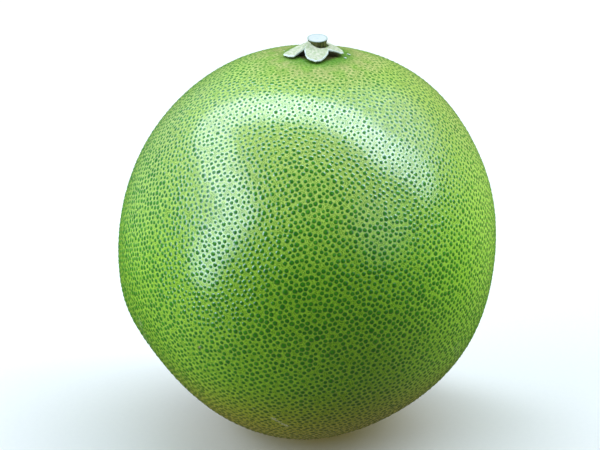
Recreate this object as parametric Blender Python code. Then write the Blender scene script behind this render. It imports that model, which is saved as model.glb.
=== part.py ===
"""A whole green pomelo, as picked: the fruit, the calyx left on its crown, and the cut end of its stem.

The fruit is a tall spheroid with a few broad swells and flats, and it rests on a small flat spot.
Metres, +Z up, origin at the middle of the bottom of the whole thing.
"""

import math

import bmesh
import bpy
from mathutils import Vector

# Driving dimensions of the fruit.
FRUIT_WIDTH = 0.150
FRUIT_HEIGHT = 0.158
FOOT_RADIUS = 0.013
RIND_SUBDIVISIONS = 5
FOOT_SNAP = 0.0001
FOOT_EDGE_ANGLE = math.radians(8)

# Where the grown fruit departs from its spheroid. Azimuth 0 is +X and 90 is +Y, in degrees;
# latitude 90 is the crown. The spread is the angle at which a swell has fallen to 1/e.
SWELLS = (
    {"name": "right shoulder", "azimuth": 25, "latitude": 50, "spread": 30, "rise": 0.0035},
    {"name": "right side", "azimuth": 5, "latitude": 15, "spread": 16, "rise": 0.0010},
    {"name": "back left shoulder", "azimuth": 130, "latitude": 64, "spread": 22, "rise": 0.0010},
    {"name": "left upper flat", "azimuth": 171, "latitude": 14, "spread": 14, "rise": -0.0004},
    {"name": "left cheek", "azimuth": -173, "latitude": -17, "spread": 12, "rise": 0.0012},
    {"name": "left lower flat", "azimuth": -165, "latitude": -37, "spread": 20, "rise": -0.0018},
    {"name": "left base flat", "azimuth": -150, "latitude": -55, "spread": 22, "rise": -0.0011},
    {"name": "right base flat", "azimuth": -36, "latitude": -59, "spread": 24, "rise": -0.0019},
    {"name": "right lower cheek", "azimuth": -12, "latitude": -28, "spread": 16, "rise": 0.0003},
    {"name": "back flat", "azimuth": 95, "latitude": -8, "spread": 28, "rise": -0.0012},
    {"name": "back right swell", "azimuth": 58, "latitude": -30, "spread": 24, "rise": 0.0010},
    {"name": "crown flat", "azimuth": -90, "latitude": 82, "spread": 13, "rise": -0.0006},
)

# The stem and the calyx stand beside the fruit's own axis, a little to its right.
CROWN_X = 0.0043
CROWN_Y = 0.0
CLEARANCE = 0.0003

STEM_RADIUS = 0.0040
STEM_WAIST_RADIUS = 0.0037
STEM_HEIGHT = 0.0049
STEM_WAIST_PLACE = 0.55
STEM_RIM = 0.0003
STEM_SIDES = 36
STEM_EDGE_ANGLE = math.radians(30)

# The calyx is one cup, split into four drooping lobes. Its collar hugs the stem's base and
# stands clear of the rind, and the lobes come down from it like a low tent.
CALYX_BORE = STEM_RADIUS + CLEARANCE
CALYX_COLLAR = 0.0052
CALYX_REACH = 0.0135
COLLAR_THICKNESS = 0.0009
TIP_THICKNESS = 0.0005
COLLAR_LIFT = 0.0019
TIP_LIFT = 0.0001
LOBE_COLUMNS = 16
LOBE_ROWS = 5
CURVE_STEPS = 8

# Each lobe runs from one notch to the next. A point is its azimuth in degrees about the stem
# and its distance from the stem's axis.
NOTCHES = {"front left": (-146, 0.0060), "front right": (-46, 0.0060),
           "back right": (44, 0.0056), "back left": (136, 0.0057)}
LOBES = (
    {"name": "front", "from": "front left", "to": "front right", "turn": 0,
     "edge": ((-126, 0.0080), (-112, 0.0104), (-94, 0.0118), (-80, 0.0108), (-62, 0.0081))},
    {"name": "right", "from": "front right", "to": "back right", "turn": 0,
     "edge": ((-28, 0.0083), (-22, 0.0100), (-8, 0.0099), (18, 0.0068))},
    {"name": "back", "from": "back right", "to": "back left", "turn": 0,
     "edge": ((64, 0.0076), (80, 0.0092), (99, 0.0094), (117, 0.0078))},
    {"name": "left", "from": "back left", "to": "front left", "turn": 360,
     "edge": ((176, 0.0087), (191, 0.0132), (203, 0.0128), (217, 0.0117), (217, 0.0090))},
)

# Times that a height is worked out again from the last one, until it lies on the skin.
SETTLING_ROUNDS = 12


def clear_scene():
    for thing in list(bpy.data.objects):
        bpy.data.objects.remove(thing, do_unlink=True)


def finish_material(name, colour, roughness):
    """A matte or satin natural skin: colour, roughness and no metal."""
    material = bpy.data.materials.new(name)
    material.use_nodes = True
    shader = material.node_tree.nodes["Principled BSDF"]
    shader.inputs["Base Color"].default_value = (*colour, 1.0)
    shader.inputs["Roughness"].default_value = roughness
    shader.inputs["Metallic"].default_value = 0.0
    return material


def direction(azimuth, latitude):
    azimuth, latitude = math.radians(azimuth), math.radians(latitude)
    return Vector((
        math.cos(latitude) * math.cos(azimuth),
        math.cos(latitude) * math.sin(azimuth),
        math.sin(latitude),
    ))


def rind_radius(way):
    """Distance from the fruit's middle to its skin, along a unit vector."""
    across = (way.x ** 2 + way.y ** 2) / (FRUIT_WIDTH / 2) ** 2
    along = way.z ** 2 / (FRUIT_HEIGHT / 2) ** 2
    radius = 1 / math.sqrt(across + along)
    for swell in SWELLS:
        off = math.degrees(way.angle(direction(swell["azimuth"], swell["latitude"])))
        radius += swell["rise"] * math.exp(-(off / swell["spread"]) ** 2)
    return radius


def crown_height(x, y):
    """Height of the skin over a point near the crown, above the fruit's middle."""
    z = FRUIT_HEIGHT / 2
    for _ in range(SETTLING_ROUNDS):
        radius = rind_radius(Vector((x, y, z)).normalized())
        z = math.sqrt(radius ** 2 - x ** 2 - y ** 2)
    return z


def foot_height():
    """Height of the flat spot, where the skin is FOOT_RADIUS from the axis."""
    z = -FRUIT_HEIGHT / 2
    for _ in range(SETTLING_ROUNDS):
        radius = rind_radius(Vector((FOOT_RADIUS, 0, z)).normalized())
        z = -math.sqrt(radius ** 2 - FOOT_RADIUS ** 2)
    return z


def add_object(name, mesh_maker, material, parent):
    """Turns a bmesh into a named object of one closed body, in its parent's frame."""
    mesh_maker.normal_update()
    bmesh.ops.recalc_face_normals(mesh_maker, faces=mesh_maker.faces)
    mesh = bpy.data.meshes.new(name)
    mesh_maker.to_mesh(mesh)
    mesh_maker.free()
    mesh.materials.append(material)
    thing = bpy.data.objects.new(name, mesh)
    bpy.context.scene.collection.objects.link(thing)
    thing.parent = parent
    return thing


def make_fruit(parent):
    """The rind's outside, a solid from an even triangle ball, cut level at the foot."""
    maker = bmesh.new()
    bmesh.ops.create_icosphere(maker, subdivisions=RIND_SUBDIVISIONS, radius=1.0)
    for vertex in maker.verts:
        way = vertex.co.normalized()
        vertex.co = way * rind_radius(way)
    foot = foot_height()
    for vertex in maker.verts:
        if abs(vertex.co.z - foot) < FOOT_SNAP:
            vertex.co.z = foot
    bmesh.ops.bisect_plane(
        maker,
        geom=maker.verts[:] + maker.edges[:] + maker.faces[:],
        dist=FOOT_SNAP / 10,
        plane_co=(0, 0, foot),
        plane_no=(0, 0, -1),
        clear_outer=True,
    )
    rim = [edge for edge in maker.edges if edge.is_boundary]
    bmesh.ops.contextual_create(maker, geom=rim)
    skin = finish_material("green_rind", (0.16, 0.34, 0.04), 0.36)
    fruit = add_object("fruit", maker, skin, parent)
    fruit.data.shade_smooth()
    fruit.data.set_sharp_from_angle(angle=FOOT_EDGE_ANGLE)
    return fruit


def about_stem(azimuth, reach):
    """A flat point about the stem's axis."""
    turn = math.radians(azimuth)
    return Vector((reach * math.cos(turn), reach * math.sin(turn)))


def smooth_through(points, count):
    """Points at even steps along a smooth curve through the given ones."""
    ends = [2 * points[0] - points[1], *points, 2 * points[-1] - points[-2]]
    curve = []
    for a, b, c, d in zip(ends, ends[1:], ends[2:], ends[3:]):
        for step in range(CURVE_STEPS):
            t = step / CURVE_STEPS
            curve.append((2 * b + (c - a) * t + (2 * a - 5 * b + 4 * c - d) * t ** 2
                          + (3 * b - a - 3 * c + d) * t ** 3) / 2)
    curve.append(points[-1])
    lengths = [0.0]
    for here, there in zip(curve, curve[1:]):
        lengths.append(lengths[-1] + (there - here).length)
    even = []
    for index in range(count):
        wanted = lengths[-1] * index / (count - 1)
        piece = max(i for i in range(len(curve) - 1) if lengths[i] <= wanted)
        share = (wanted - lengths[piece]) / (lengths[piece + 1] - lengths[piece])
        even.append(curve[piece].lerp(curve[piece + 1], share))
    return even


def lobe_columns(lobe):
    """Pairs of points from one notch to the next: on the bore, and out on the lobe's edge."""
    start_azimuth, start_reach = NOTCHES[lobe["from"]]
    end_azimuth, end_reach = NOTCHES[lobe["to"]]
    end_azimuth += lobe["turn"]
    edge = [about_stem(start_azimuth, start_reach)]
    edge += [about_stem(azimuth, reach) for azimuth, reach in lobe["edge"]]
    edge.append(about_stem(end_azimuth, end_reach))
    columns = []
    for index, outer in enumerate(smooth_through(edge, LOBE_COLUMNS + 1)):
        azimuth = start_azimuth + (end_azimuth - start_azimuth) * index / LOBE_COLUMNS
        columns.append((about_stem(azimuth, CALYX_BORE), outer))
    return columns[:-1]


def calyx_pair(flat):
    """The calyx's underside and upper side at a flat point about the stem's axis."""
    droop = max(0.0, (flat.length - CALYX_COLLAR) / (CALYX_REACH - CALYX_COLLAR))
    x, y = CROWN_X + flat.x, CROWN_Y + flat.y
    under = crown_height(x, y) + CLEARANCE + COLLAR_LIFT + (TIP_LIFT - COLLAR_LIFT) * droop
    thickness = COLLAR_THICKNESS + (TIP_THICKNESS - COLLAR_THICKNESS) * droop
    return Vector((x, y, under)), Vector((x, y, under + thickness))


def make_calyx(parent):
    """A four-lobed star that thins towards its tips, with a bore that the stem's end stands in."""
    maker = bmesh.new()
    columns = []
    for lobe in LOBES:
        for inner, outer in lobe_columns(lobe):
            pairs = [calyx_pair(inner.lerp(outer, row / LOBE_ROWS)) for row in range(LOBE_ROWS + 1)]
            columns.append([[maker.verts.new(place) for place in pair] for pair in pairs])
    for here, after in zip(columns, columns[1:] + columns[:1]):
        for row in range(LOBE_ROWS):
            for level in (0, 1):
                maker.faces.new((here[row][level], here[row + 1][level],
                                 after[row + 1][level], after[row][level]))
        for row in (0, LOBE_ROWS):
            maker.faces.new((here[row][0], after[row][0], after[row][1], here[row][1]))
    bmesh.ops.triangulate(maker, faces=maker.faces[:])
    leafy = finish_material("dry_calyx", (0.62, 0.70, 0.50), 0.75)
    return add_object("calyx", maker, leafy, parent)


def make_stem_stub(parent):
    """The stem's cut end: a turned peg with a slight waist and a softened rim."""
    seat = crown_height(CROWN_X, CROWN_Y) + CLEARANCE
    outline = (
        (STEM_RADIUS - STEM_RIM, seat),
        (STEM_RADIUS, seat + STEM_RIM),
        (STEM_WAIST_RADIUS, seat + STEM_HEIGHT * STEM_WAIST_PLACE),
        (STEM_RADIUS, seat + STEM_HEIGHT - STEM_RIM),
        (STEM_RADIUS - STEM_RIM, seat + STEM_HEIGHT),
    )
    maker = bmesh.new()
    rings = []
    for radius, height in outline:
        ring = []
        for side in range(STEM_SIDES):
            turn = 2 * math.pi * side / STEM_SIDES
            place = (CROWN_X + radius * math.cos(turn), CROWN_Y + radius * math.sin(turn), height)
            ring.append(maker.verts.new(place))
        rings.append(ring)
    for lower, upper in zip(rings, rings[1:]):
        for side in range(STEM_SIDES):
            after = (side + 1) % STEM_SIDES
            maker.faces.new((lower[side], lower[after], upper[after], upper[side]))
    maker.faces.new(rings[0])
    maker.faces.new(rings[-1])
    wood = finish_material("cut_stem", (0.40, 0.38, 0.20), 0.7)
    stem = add_object("stem_stub", maker, wood, parent)
    stem.data.shade_smooth()
    stem.data.set_sharp_from_angle(angle=STEM_EDGE_ANGLE)
    return stem


def stand_on_origin(axis, fruit):
    """Moves the fruit's frame so that its box stands centred on the origin."""
    corners = [vertex.co for vertex in fruit.data.vertices]
    middle_x = (min(c.x for c in corners) + max(c.x for c in corners)) / 2
    middle_y = (min(c.y for c in corners) + max(c.y for c in corners)) / 2
    axis.location = (-middle_x, -middle_y, -min(c.z for c in corners))


def main():
    clear_scene()
    axis = bpy.data.objects.new("fruit_axis", None)
    bpy.context.scene.collection.objects.link(axis)
    fruit = make_fruit(axis)
    make_calyx(axis)
    make_stem_stub(axis)
    stand_on_origin(axis, fruit)


main()
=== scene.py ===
"""A whole green pomelo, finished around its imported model: the gland-covered rind, the dry calyx,
the cut stem, a few dry flecks beside them, and a plain pale stage with soft light.

Everything is in metres, +Z up, with the stem at the top and the side seen first facing -Y.
"""

import math

import bmesh
import bpy
import numpy as np
from bpy.props import FloatProperty, FloatVectorProperty, IntProperty, PointerProperty
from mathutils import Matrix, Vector
from mathutils.geometry import delaunay_2d_cdt


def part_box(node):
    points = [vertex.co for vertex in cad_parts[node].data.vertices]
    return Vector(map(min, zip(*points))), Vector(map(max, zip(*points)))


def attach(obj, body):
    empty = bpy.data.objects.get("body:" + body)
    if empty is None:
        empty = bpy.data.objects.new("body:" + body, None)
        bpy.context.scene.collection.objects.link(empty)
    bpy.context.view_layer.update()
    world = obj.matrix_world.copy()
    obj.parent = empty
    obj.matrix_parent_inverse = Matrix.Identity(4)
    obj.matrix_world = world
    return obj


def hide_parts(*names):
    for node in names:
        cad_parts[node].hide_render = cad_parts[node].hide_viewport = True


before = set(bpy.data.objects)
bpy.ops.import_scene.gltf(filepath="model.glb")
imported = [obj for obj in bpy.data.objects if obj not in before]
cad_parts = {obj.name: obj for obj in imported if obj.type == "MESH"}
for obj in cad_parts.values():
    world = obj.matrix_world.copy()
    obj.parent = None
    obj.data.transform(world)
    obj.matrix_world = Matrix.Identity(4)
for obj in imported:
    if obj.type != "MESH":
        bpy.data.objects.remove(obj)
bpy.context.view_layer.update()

bl_info = {
    "name": "Green Pomelo",
    "version": (1, 0, 0),
    "blender": (4, 5, 0),
    "location": "3D View > Sidebar > Pomelo",
    "description": "Finishes a pomelo: rind with oil glands, dry calyx, cut stem and a plain stage",
    "category": "Object",
}

MM = 0.001


def middle_of(node):
    low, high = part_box(node)
    return Vector(low).lerp(Vector(high), 0.5)


FRUIT_MIDDLE = middle_of("fruit")
STEM_AXIS = middle_of("stem_stub")
STEM_LOW, STEM_HIGH = (Vector(corner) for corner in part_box("stem_stub"))
CROWN_POINT = Vector((STEM_AXIS.x, STEM_AXIS.y, STEM_LOW.z))


def way_to(azimuth, elevation):
    azimuth, elevation = math.radians(azimuth), math.radians(elevation)
    return Vector((math.cos(elevation) * math.cos(azimuth),
                   math.cos(elevation) * math.sin(azimuth), math.sin(elevation)))


def on_fruit(azimuth, elevation):
    """The place where a direction from the fruit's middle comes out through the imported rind."""
    way = way_to(azimuth, elevation)
    found, place, _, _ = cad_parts["fruit"].ray_cast(FRUIT_MIDDLE + way, -way)
    if not found:
        raise RuntimeError("The fruit has a hole in it")
    return place


# ---------------------------------------------------------------- shader writing


def both_ways(operation):
    """An operator and its reflected form, each of which adds a Math node."""
    return (lambda wire, other: wire.paint.maths(operation, wire, other),
            lambda wire, other: wire.paint.maths(operation, other, wire))


class Wire:
    """One value on its way through a material. Arithmetic on it adds Math nodes."""

    def __init__(self, paint, socket):
        self.paint = paint
        self.socket = socket

    __add__, __radd__ = both_ways("ADD")
    __sub__, __rsub__ = both_ways("SUBTRACT")
    __mul__, __rmul__ = both_ways("MULTIPLY")


class Paint:
    """A material, or the room's light, written as expressions. A material ends in one shader."""

    def __init__(self, name=None, tree=None):
        self.tree = tree
        if name:
            self.material = bpy.data.materials.new(name)
            self.material.use_nodes = True
            self.tree = self.material.node_tree
            self.shader = self.tree.nodes["Principled BSDF"]
            self.own_places = self.add("ShaderNodeTexCoord", output="Object")

    def add(self, kind, settings=None, values=None, output=0):
        """Adds a node: its settings first, then the values or wires of its sockets."""
        node = self.tree.nodes.new(kind)
        for name, setting in (settings or {}).items():
            setattr(node, name, setting)
        for name, value in (values or {}).items():
            self.feed(node.inputs[name], value)
        return Wire(self, node.outputs[output])

    def feed(self, socket, value):
        if isinstance(value, Wire):
            self.tree.links.new(value.socket, socket)
        elif value is not None:
            socket.default_value = value

    def maths(self, operation, first, second=None, third=None):
        return self.add("ShaderNodeMath", {"operation": operation}, {0: first, 1: second, 2: third})

    def vectors(self, operation, first, second=None, output="Vector"):
        return self.add("ShaderNodeVectorMath", {"operation": operation},
                        {0: first, 1: second}, output)

    def ease(self, value, low, high, start=0.0, end=1.0):
        """Goes smoothly from start to end as the value goes from low to high."""
        return self.add("ShaderNodeMapRange", {"interpolation_type": "SMOOTHSTEP", "clamp": True},
                        {"Value": value, "From Min": low, "From Max": high,
                         "To Min": start, "To Max": end})

    def blend(self, share, first, second, way="MIX"):
        """Colour blending; a colour is three numbers or a wire."""
        pair = [(*c, 1.0) if isinstance(c, (tuple, list)) else c for c in (first, second)]
        return self.add("ShaderNodeMix", {"data_type": "RGBA", "blend_type": way},
                        {0: share, 6: pair[0], 7: pair[1]}, output=2)

    def times(self, first, second):
        """One colour dimmed or tinted by another."""
        return self.blend(1.0, first, second, "MULTIPLY")

    def tinted(self, share, first, tint):
        """A colour, tinted where the share is high."""
        return self.blend(share, first, self.times(first, tint))

    def mottled(self, share, first, low, high):
        """A colour in two tints, one where the share is low and one where it is high."""
        return self.blend(share, self.times(first, low), self.times(first, high))

    def scaled(self, vector, share):
        return self.add("ShaderNodeVectorMath", {"operation": "SCALE"}, {0: vector, "Scale": share})

    def least(self, first, second):
        return self.maths("MINIMUM", first, second)

    def most(self, first, second):
        return self.maths("MAXIMUM", first, second)

    def around(self, way, place, core, reach, strength=1.0):
        """Full strength within a core round a place, and nothing beyond its reach."""
        aside = self.vectors("DOT_PRODUCT", way, way_to(*place), "Value")
        return self.ease(aside, math.cos(math.radians(reach)), math.cos(math.radians(core)),
                         0.0, strength)

    def streak(self, start, end, width, grain):
        """1 along a ragged line between two places on the fruit, and 0 away from it."""
        start, end = on_fruit(*start), on_fruit(*end)
        along = end - start
        from_start = self.vectors("SUBTRACT", self.own_places, start)
        share = self.vectors("DOT_PRODUCT", from_start, along / along.length_squared, "Value")
        share = self.least(self.most(share, 0.0), 1.0)
        line = self.scaled(along, share)
        off = self.vectors("DISTANCE", from_start, line, "Value")
        ragged = off + (self.noise(grain, 3, seed=3.0) - 0.5) * (MARK_RAGS * width)
        broken = self.ease(self.noise(MARK_GAPS * grain, 2, seed=8.0), 0.36, 0.50)
        return self.ease(ragged, width, 0.5 * width) * broken

    def noise(self, size, detail=2.0, places=None, roughness=0.5, seed=0.0):
        """Noise from 0 to 1 whose lumps are about that size, in metres."""
        return self.add("ShaderNodeTexNoise", {"noise_dimensions": "4D"},
                        {"Vector": places or self.own_places, "Scale": 1 / size, "W": seed,
                         "Detail": detail, "Roughness": roughness})

    def attribute(self, name, output="Vector"):
        return self.add("ShaderNodeAttribute", {"attribute_name": name}, output=output)

    def bump(self, height, depth, onto=None):
        """Relief of a height from 0 to 1, where 1 stands that many metres proud."""
        return self.add("ShaderNodeBump", None, {"Height": height, "Distance": depth,
                                                 "Strength": 1.0, "Normal": onto})

    def finish(self, **sockets):
        for name, value in sockets.items():
            socket = self.shader.inputs[name.replace("_", " ")]
            if isinstance(value, (tuple, list)) and len(value) == 3:
                value = (*value, 1.0)
            self.feed(socket, value)
        return self.material


# ---------------------------------------------------------------- sizes and colours


def colour(name, description, default):
    return FloatVectorProperty(name=name, description=description, subtype="COLOR",
                               default=default, min=0.0, max=1.0)


def small_length(name, description, default):
    return FloatProperty(name=name, description=description, unit="LENGTH", precision=5,
                         default=default)


class RindSettings(bpy.types.PropertyGroup):
    gland_count: IntProperty(
        name="Oil glands", description="How many oil glands cover the rind", default=14900)
    gland_radius: small_length("Gland radius", "Radius of a usual oil gland", 0.86 * MM)
    gland_variety: FloatProperty(
        name="Gland variety", description="How much the glands differ in size", default=0.14)
    dome_height: small_length(
        "Dome height", "How far a usual gland stands proud of the rind", 0.14 * MM)
    net_colour: colour("Net", "The rind between the glands", (0.41, 0.61, 0.080))


class CalyxSettings(bpy.types.PropertyGroup):
    leaf_colour: colour("Leaf", "The dry lobes", (0.65, 0.63, 0.38))
    rim_colour: colour("Rim", "The bleached edges of the lobes", (0.97, 0.98, 0.84))
    rim_width: small_length("Rim width", "Width of the bleached edge", 0.24 * MM)


class StemSettings(bpy.types.PropertyGroup):
    bark_colour: colour("Bark", "The stem's side", (0.13, 0.15, 0.035))
    wood_colour: colour("Cut wood", "The freshly cut face", (0.76, 0.72, 0.68))
    ridge_height: small_length(
        "Bark ridges", "How far the bark's ridges stand proud", 0.10 * MM)


class StageSettings(bpy.types.PropertyGroup):
    floor_colour: colour("Floor", "The plain pale floor", (0.97, 0.86, 0.75))
    eye_distance: FloatProperty(
        name="Camera distance", description="From the camera to the fruit's middle",
        default=0.95, unit="LENGTH")
    eye_height: FloatProperty(
        name="Camera elevation", description="How steeply the camera looks down",
        default=math.radians(19.5), subtype="ANGLE")
    view_width: FloatProperty(
        name="View width", description="Width of the picture at the fruit's middle",
        default=0.240, unit="LENGTH")


# ---------------------------------------------------------------- the rind's shape

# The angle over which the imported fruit's corners are blended into one smooth skin.
SKIN_BLEND = math.radians(2.4)
SKIN_CHUNK = 2000


class Skin:
    """The fruit's outside as one smooth surface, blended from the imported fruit's corners."""

    def __init__(self):
        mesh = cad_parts["fruit"].data
        corners = np.empty(len(mesh.vertices) * 3, np.float32)
        mesh.vertices.foreach_get("co", corners)
        corners = corners.reshape(-1, 3) - np.array(FRUIT_MIDDLE, np.float32)
        reach = np.linalg.norm(corners, axis=1)
        self.middle = np.array(FRUIT_MIDDLE)
        self.mean = float(reach.mean())
        self.ways = corners / reach[:, None]
        rise = reach - self.mean
        self.table = np.column_stack([rise, self.ways, self.ways * rise[:, None]])

    def at(self, ways):
        """Points on the skin along unit vectors from the fruit's middle, and their normals."""
        parts = [self.blended(ways[start:start + SKIN_CHUNK])
                 for start in range(0, len(ways), SKIN_CHUNK)]
        return [np.concatenate(found) for found in zip(*parts)]

    def blended(self, ways):
        near = (ways.astype(np.float32) @ self.ways.T - 1) / np.float32(SKIN_BLEND ** 2)
        weights = np.exp(np.maximum(near, -30))
        sums = (weights @ self.table).astype(float) / weights.sum(axis=1, dtype=float)[:, None]
        rise, pull, lift = sums[:, :1], sums[:, 1:4], sums[:, 4:]
        slope = (lift - rise * pull) / SKIN_BLEND ** 2
        slope -= (slope * ways).sum(axis=1, keepdims=True) * ways
        reach = self.mean + rise
        points = self.middle + ways * reach
        normals = unit(ways - slope / reach)
        sunk = points[:, 2] < 0
        points[sunk] = self.middle - ways[sunk] * self.middle[2] / ways[sunk, 2:3]
        normals[sunk] = (0, 0, -1)
        return points, normals


def unit(vectors):
    return vectors / np.linalg.norm(vectors, axis=-1, keepdims=True)


CROWN_WAY = unit(np.array(STEM_AXIS - FRUIT_MIDDLE))
FOOT_WAY = np.array((0.0, 0.0, -1.0))


def across(normals):
    """Two directions at right angles to each normal and to each other."""
    first = unit(np.cross(normals, (0.31, 0.52, 0.79)))
    return first, np.cross(normals, first)


def flattened(ways):
    """The ball of directions opened out flat from its lowest point, for the triangulation."""
    return ways[:, :2] / (1 + ways[:, 2:3])


def triangles_over(ways):
    places = [Vector(place) for place in flattened(ways).tolist()]
    return np.array(delaunay_2d_cdt(places, [], [], 0, 1e-12, False)[2])


# How glands are spread: they start on an even spiral, shaken a little, and push each other
# apart until each has room. Pushing works on a ball of the fruit's mean radius.
BALL_RADIUS = 0.0760
# Glands are closer together towards the stem by this share, and smaller there: their size
# against the sine of their latitude.
CROWDING = 0.16
SIZE_BY_HEIGHT = ((-0.5, 0.0, 0.35, 0.7, 0.9), (0.97, 1.0, 0.93, 0.87, 0.78))
START_JITTER = 0.22
PUSH_ROUNDS = 5
PUSHES = 6
PUSH_SHARE = 0.45
NO_DISTANCE = 1e-6
ROOM_RADII = 0.58
ROOM_GAP = 0.48 * MM
SMALLEST_GLAND = 0.45 * MM
LARGEST_GLAND = 1.22 * MM

# No glands under the calyx or in the blossom scar, and smaller ones round about them.
BARE_CROWN = 5.5 * MM
FINE_CROWN = 24 * MM
CROWN_GLANDS = 0.70
BARE_FOOT = 2.4 * MM
FINE_FOOT = 10 * MM
FOOT_GLANDS = 0.75


def over_ball(ways, way):
    """How far each direction is from one direction, on a ball of the fruit's size."""
    return BALL_RADIUS * np.linalg.norm(ways - way, axis=1)


def gland_plan(settings, draw):
    """Directions of the glands from the fruit's middle, and their radii in metres."""
    count = settings.gland_count
    share = (np.arange(count) + 0.5) / count
    height = (-1 + np.sqrt(1 - CROWDING * (4 * share - 2 - CROWDING))) / CROWDING
    turn = share * count * math.pi * (3 - math.sqrt(5))
    ring = np.sqrt(1 - height ** 2)
    ways = np.stack([ring * np.cos(turn), ring * np.sin(turn), height], axis=1)
    step = math.sqrt(4 * math.pi / count)
    ways = unit(ways + draw.normal(0, START_JITTER * step, ways.shape))
    radii = settings.gland_radius * np.exp(draw.normal(0, settings.gland_variety, count))
    radii = radii * np.interp(ways[:, 2], *SIZE_BY_HEIGHT)
    radii = np.clip(radii, SMALLEST_GLAND, LARGEST_GLAND)
    for _ in range(PUSH_ROUNDS):
        sides = triangles_over(ways)
        pairs = np.concatenate([sides[:, :2], sides[:, 1:], sides[:, ::2]])
        pairs = np.unique(np.sort(pairs, axis=1), axis=0)
        for _ in range(PUSHES):
            ways = pushed_apart(ways, radii, pairs)
    from_crown, from_foot = over_ball(ways, CROWN_WAY), over_ball(ways, FOOT_WAY)
    kept = (from_crown > BARE_CROWN) & (from_foot > BARE_FOOT)
    radii = radii * np.interp(from_crown, (BARE_CROWN, FINE_CROWN), (CROWN_GLANDS, 1.0))
    radii = radii * np.interp(from_foot, (BARE_FOOT, FINE_FOOT), (FOOT_GLANDS, 1.0))
    return ways[kept], radii[kept]


def pushed_apart(ways, radii, pairs):
    gap = (ways[pairs[:, 0]] - ways[pairs[:, 1]]) * BALL_RADIUS
    distance = np.linalg.norm(gap, axis=1)
    room = ROOM_RADII * (radii[pairs[:, 0]] + radii[pairs[:, 1]]) + 2 * ROOM_GAP
    push = PUSH_SHARE * np.maximum(0, room - distance) / np.maximum(distance, NO_DISTANCE)
    moves = gap * push[:, None] / BALL_RADIUS
    shifted = ways.copy()
    np.add.at(shifted, pairs[:, 0], moves)
    np.add.at(shifted, pairs[:, 1], -moves)
    return unit(shifted)


# A gland is a low dome: its peak, and a ring of corners at its foot, fewer on a small gland.
SMALL_GLAND = 0.84 * MM
SMALL_RING, LARGE_RING = 5, 6
RING_WOBBLE = 0.05
# Glands near the stem are flatter: between these distances from it they rise from this share
# of their height to all of it.
FLAT_CROWN, FLATTEST = (12 * MM, 36 * MM), 0.25
DOME_VARIETY = (0.8, 1.2)
# A place beside no gland is this many gland radii from one.
FAR_FROM_GLANDS = 9.0
SCAR_RINGS = ((0.45 * MM, 8), (1.1 * MM, 12), (1.8 * MM, 16))
CROWN_RINGS = ((1.5 * MM, 8), (3.2 * MM, 14), (4.7 * MM, 20))


def rings_about(way, rings):
    """Directions on circles about one direction, given as pairs of a radius and a count."""
    first, second = across(way[None])
    found = [way[None]]
    for radius, count in rings:
        turns = np.arange(count)[:, None] * 2 * math.pi / count
        found.append(way + (np.cos(turns) * first + np.sin(turns) * second) * radius / BALL_RADIUS)
    return unit(np.concatenate(found))


def dome_feet(centres, normals, radii, draw):
    """The corners round each gland's foot: places, normals, and which gland each is of."""
    counts = np.where(radii < SMALL_GLAND, SMALL_RING, LARGE_RING)
    gland = np.repeat(np.arange(len(radii)), counts)
    place = np.arange(len(gland)) - np.repeat(np.cumsum(counts) - counts, counts)
    turn = draw.uniform(0, 2 * math.pi, len(radii))[gland] + place * 2 * math.pi / counts[gland]
    spread = radii[gland] * (1 + draw.normal(0, RING_WOBBLE, len(gland)))
    first, second = across(normals)
    out = first[gland] * np.cos(turn)[:, None] + second[gland] * np.sin(turn)[:, None]
    feet = centres[gland] + out * spread[:, None] \
        - normals[gland] * (spread ** 2 / 2 / BALL_RADIUS)[:, None]
    feet[:, 2] = np.maximum(feet[:, 2], 0)
    return feet, unit(normals[gland] + out * (spread / BALL_RADIUS)[:, None]), gland, out


def rind_mesh(settings):
    """The rind with every gland a dome on it, and where each corner stands beside its glands."""
    draw = np.random.default_rng(20)
    skin = Skin()
    ways, radii = gland_plan(settings, draw)
    count = len(ways)
    centres, upright = skin.at(ways)
    feet, feet_normals, gland, out = dome_feet(centres, upright, radii, draw)
    heights = settings.dome_height * radii / settings.gland_radius \
        * draw.uniform(*DOME_VARIETY, count)
    heights = heights * np.interp(over_ball(ways, CROWN_WAY), FLAT_CROWN, (FLATTEST, 1.0))
    tone = draw.uniform(0, 1, count)
    bare, bare_normals = skin.at(np.concatenate([
        rings_about(CROWN_WAY, CROWN_RINGS), rings_about(FOOT_WAY, SCAR_RINGS)[1:]]))
    points = np.concatenate([centres, feet, bare])
    normals = np.concatenate([upright, feet_normals, bare_normals])
    # The gland that each corner belongs to; the bare crown and foot belong to none.
    owner = np.concatenate([np.arange(count), gland, np.full(len(bare), -1)])
    outward = np.zeros_like(points)
    outward[count:count + len(gland)] = out

    faces = triangles_over(unit(points - skin.middle))
    faces, points, normals, owner, outward = close_foot(
        faces, points, normals, owner, outward, skin)
    facing = np.cross(points[faces[:, 1]] - points[faces[:, 0]],
                      points[faces[:, 2]] - points[faces[:, 0]])
    inward = (facing * normals[faces[:, 0]]).sum(axis=1) < 0
    faces[inward] = faces[inward][:, ::-1]

    owners = owner[faces]
    domed = (owners[:, 0] == owners[:, 1]) & (owners[:, 1] == owners[:, 2]) & (owners[:, 0] >= 0)
    slope = np.where(domed, (2 * heights / radii)[owners[:, 0]], 0.0)
    corner_normals = unit(normals[faces] + outward[faces] * slope[:, None, None])
    beside = []
    for number in range(3):
        nearby = owners[:, number]
        off = (points[faces] - centres[nearby][:, None]) / radii[nearby][:, None, None]
        repeated = (owners[:, :number] == nearby[:, None]).any(axis=1)
        off[repeated | (nearby < 0)] = FAR_FROM_GLANDS
        beside.append(off)
    points[:count] += upright * heights[:, None]
    points[:, 2] = np.maximum(points[:, 2], 0)
    return points, faces, corner_normals, beside, np.where(domed, tone[owners[:, 0]], 0.5)


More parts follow.
